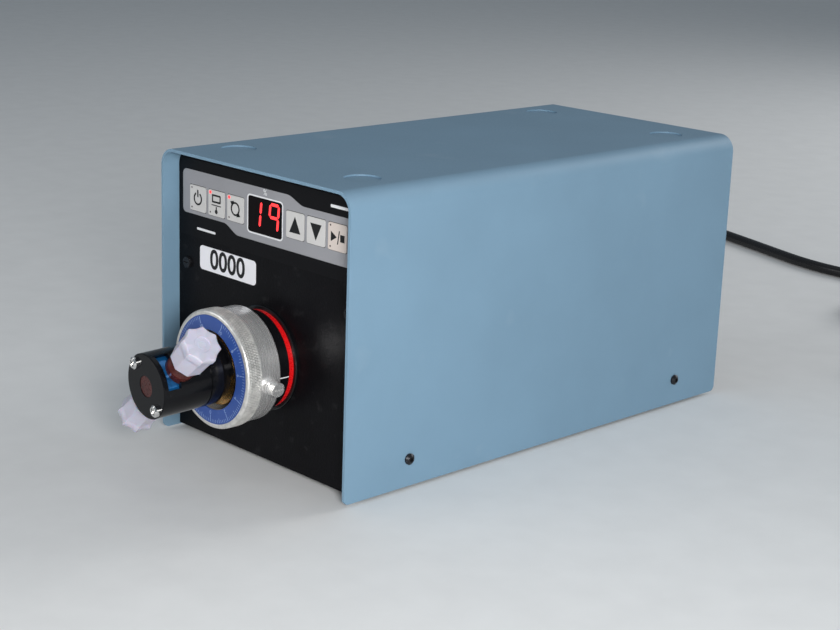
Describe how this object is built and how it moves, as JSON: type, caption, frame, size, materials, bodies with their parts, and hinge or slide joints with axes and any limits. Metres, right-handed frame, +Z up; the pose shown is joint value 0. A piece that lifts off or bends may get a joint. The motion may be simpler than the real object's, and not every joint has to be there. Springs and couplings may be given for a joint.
{
  "type": "laboratory metering pump",
  "caption": "Bench-top laboratory metering pump: steel cabinet with keypad and display, tilting rotary-piston head with adjusting ring, two ports and a mains lead.",
  "frame": {"origin": "middle of the body's footprint, on the bench, with the mains lead left out", "axes": "+Z up, the pump head and keypad face -Y, the mains lead leaves towards +Y"},
  "size_m": [0.3588, 0.6857, 0.1485],
  "materials": {
    "cover_paint": "fine matt powder coat",
    "black_steel": "semi-gloss black textured paint",
    "black_screw": "black oxide",
    "foot_rubber": "matt",
    "zinc_steel": "plain",
    "keypad_film": "printed satin film",
    "display_filter": "dark red, gloss",
    "display_case": "matt",
    "key_film": "satin film",
    "run_key_film": "satin film",
    "label_film": "satin film",
    "circuit_board": "solder resist",
    "board_part_plastic": "matt",
    "core_steel": "laminated",
    "winding_copper": "yellow tape over copper",
    "black_moulding": "moulded",
    "cord_jacket": "smooth black vinyl",
    "plug_brass": "machined",
    "motor_paint": "satin",
    "hub_black": "black anodised",
    "red_band": "red elastic",
    "turned_aluminium": "turned and brushed",
    "blue_scale": "blue print on satin aluminium",
    "head_black": "gloss black",
    "bright_screw": "bright",
    "blue_case": "gloss blue",
    "brown_resin": "brown resin",
    "white_seal": "matt white",
    "ceramic": "polished ceramic",
    "milky_plastic": "milky, slightly see-through"
  },
  "bodies": {
    "housing": {"cover": "cover_paint", "base_pan": "black_steel", "front_panel": "black_steel", "rear_panel": "black_steel", "cover_screws": "black_screw", "feet": "foot_rubber", "foot_screws": "zinc_steel", "keypad_overlay": "keypad_film", "display_window": "display_filter", "display_module": "display_case", "asset_label": "label_film", "panel_screws": "black_screw", "control_board": "circuit_board", "board_parts": "board_part_plastic", "board_standoffs": "zinc_steel", "transformer_core": "core_steel", "transformer_winding": "winding_copper", "fuse_holder": "black_moulding", "remote_socket": "zinc_steel", "strain_relief": "cord_jacket", "power_cord": "cord_jacket", "cord_coil": "cord_jacket", "plug": "black_moulding", "plug_blades": "plug_brass", "motor_front_bell": "motor_paint", "motor_can": "motor_paint", "motor_rear_bell": "motor_paint", "motor_bearings": "zinc_steel", "motor_screws": "black_screw", "hub_adapter": "hub_black", "red_ring": "red_band", "base_collar": "turned_aluminium", "pivot_pins": "zinc_steel"},
    "rotor": {"motor_rotor": "core_steel", "motor_shaft": "zinc_steel", "drive_spindle": "turned_aluminium", "spherical_bearing": "plug_brass"},
    "ring": {"adjusting_ring": "turned_aluminium", "scale_ring": "blue_scale"},
    "head": {"swivel_yoke": "plug_brass", "head_body": "head_black", "end_plate": "head_black", "end_screws": "bright_screw", "cylinder_case": "blue_case", "cylinder_liner": "brown_resin", "gland_nut": "turned_aluminium", "piston_seals": "white_seal", "port_nipples": "brown_resin"},
    "piston_unit": {"piston": "ceramic", "drive_pin": "zinc_steel"},
    "upper_cap": {"upper_port_cap": "milky_plastic"},
    "lower_cap": {"lower_port_cap": "milky_plastic"},
    "lock_screw": {"lock_thumbscrew": "turned_aluminium"},
    "fuse_carrier": {"fuse_cap": "black_moulding"},
    "key_power_body": {"key_power": "key_film"},
    "key_mode_body": {"key_mode": "key_film"},
    "key_direction_body": {"key_direction": "key_film"},
    "key_up_body": {"key_up": "key_film"},
    "key_down_body": {"key_down": "key_film"},
    "key_run_body": {"key_run": "run_key_film"}
  },
  "joints": [
    {"name": "motor_spin", "type": "hinge", "parent": "housing", "child": "rotor", "pos_m": [0, -0.0808, 0.0544], "axis": [0, 1, 0], "continuous": true},
    {"name": "ring_turn", "type": "hinge", "parent": "housing", "child": "ring", "pos_m": [0, -0.1283, 0.0544], "axis": [0, 1, 0], "range_deg": [-60, 90]},
    {"name": "head_tilt", "type": "hinge", "parent": "housing", "child": "head", "pos_m": [0, -0.1218, 0.0544], "axis": [0.6428, 0, -0.766], "range_deg": [-4, 6]},
    {"name": "piston_spin", "type": "hinge", "parent": "head", "child": "piston_unit", "pos_m": [0, -0.1218, 0.0544], "axis": [0.0534, 0.9976, 0.0448], "continuous": true},
    {"name": "upper_cap_turn", "type": "hinge", "parent": "head", "child": "upper_cap", "pos_m": [-0.0019, -0.15721, 0.05281], "axis": [0.7642, -0.0698, 0.6412], "range_deg": [0, 360]},
    {"name": "lower_cap_turn", "type": "hinge", "parent": "head", "child": "lower_cap", "pos_m": [-0.0019, -0.15721, 0.05281], "axis": [-0.7642, 0.0698, -0.6412], "range_deg": [0, 360]},
    {"name": "lock_turn", "type": "hinge", "parent": "housing", "child": "lock_screw", "pos_m": [0.02809, -0.1203, 0.05095], "axis": [0.9925, 0, -0.1219], "range_deg": [0, 360]},
    {"name": "fuse_turn", "type": "hinge", "parent": "housing", "child": "fuse_carrier", "pos_m": [0.015, 0.1667, 0.026], "axis": [0, -1, 0], "range_deg": [0, 90]},
    {"name": "key_power_press", "type": "slide", "parent": "housing", "child": "key_power_body", "axis": [0, 1, 0], "range_m": [0, 0.0003], "stiffness_N_per_m": 800},
    {"name": "key_mode_press", "type": "slide", "parent": "housing", "child": "key_mode_body", "axis": [0, 1, 0], "range_m": [0, 0.0003], "stiffness_N_per_m": 800},
    {"name": "key_direction_press", "type": "slide", "parent": "housing", "child": "key_direction_body", "axis": [0, 1, 0], "range_m": [0, 0.0003], "stiffness_N_per_m": 800},
    {"name": "key_up_press", "type": "slide", "parent": "housing", "child": "key_up_body", "axis": [0, 1, 0], "range_m": [0, 0.0003], "stiffness_N_per_m": 800},
    {"name": "key_down_press", "type": "slide", "parent": "housing", "child": "key_down_body", "axis": [0, 1, 0], "range_m": [0, 0.0003], "stiffness_N_per_m": 800},
    {"name": "key_run_press", "type": "slide", "parent": "housing", "child": "key_run_body", "axis": [0, 1, 0], "range_m": [0, 0.0003], "stiffness_N_per_m": 800}
  ],
  "couplings": [
    {"joint": "head_tilt", "follows": "ring_turn", "ratio": 0.066667},
    {"joint": "piston_spin", "follows": "motor_spin", "ratio": 1}
  ]
}
